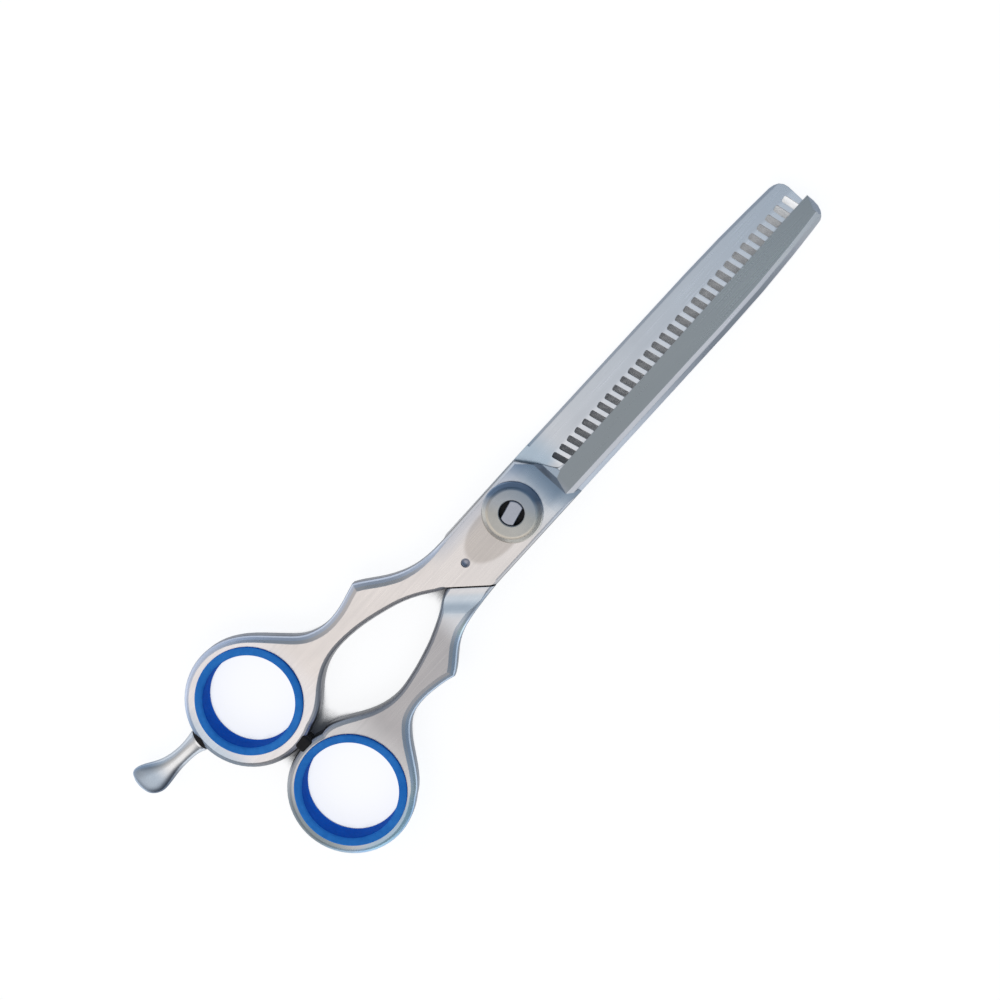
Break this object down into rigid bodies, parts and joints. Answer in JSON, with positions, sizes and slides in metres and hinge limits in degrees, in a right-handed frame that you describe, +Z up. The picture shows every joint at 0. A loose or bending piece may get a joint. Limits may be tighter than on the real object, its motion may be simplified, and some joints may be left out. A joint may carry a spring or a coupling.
{
  "type": "thinning shears",
  "caption": "Hairdressing shears with one comb blade and one plain blade, offset-free looped handles, screw-in finger rest, rubber stop and a round tension dial on the pivot.",
  "frame": {"origin": "on the pivot axis, in the flat underside of the pivot bolt's head, the plane that the shears rest on", "axes": "+X towards the blade tips, +Y towards the finger ring's side, +Z up along the pivot axis towards the tension dial"},
  "size_m": [0.1949, 0.0595, 0.0084],
  "materials": {
    "finger_blade_steel": "satin ground steel",
    "thumb_blade_steel": "satin ground steel",
    "rest_steel": "polished steel",
    "pivot_steel": "machined steel",
    "dial_steel": "turned, satin",
    "insert_plastic": "blue, soft sheen",
    "slide_plastic": "natural acetal",
    "black_rubber": "matte",
    "blackened_steel": "black oxide"
  },
  "bodies": {
    "finger_half": {"finger_blade": "finger_blade_steel", "finger_ring_insert": "insert_plastic", "finger_rest": "rest_steel", "finger_rest_washer": "black_rubber", "bumper": "black_rubber", "pivot_bushing": "slide_plastic", "ride_pin": "pivot_steel"},
    "thumb_half": {"thumb_blade": "thumb_blade_steel", "thumb_ring_insert": "insert_plastic", "pivot_bolt": "pivot_steel", "glide_washer": "slide_plastic", "keyed_washer": "blackened_steel", "spring_washer": "pivot_steel"},
    "dial": {"tension_dial": "dial_steel"}
  },
  "joints": [
    {"name": "blade_pivot", "type": "hinge", "parent": "finger_half", "child": "thumb_half", "pos_m": [0, 0, 0.0036], "axis": [0, 0, 1], "range_deg": [0, 110]},
    {"name": "dial_turn", "type": "hinge", "parent": "thumb_half", "child": "dial", "pos_m": [0, 0, 0.0075], "axis": [0, 0, 1], "range_deg": [-90, 90]}
  ]
}
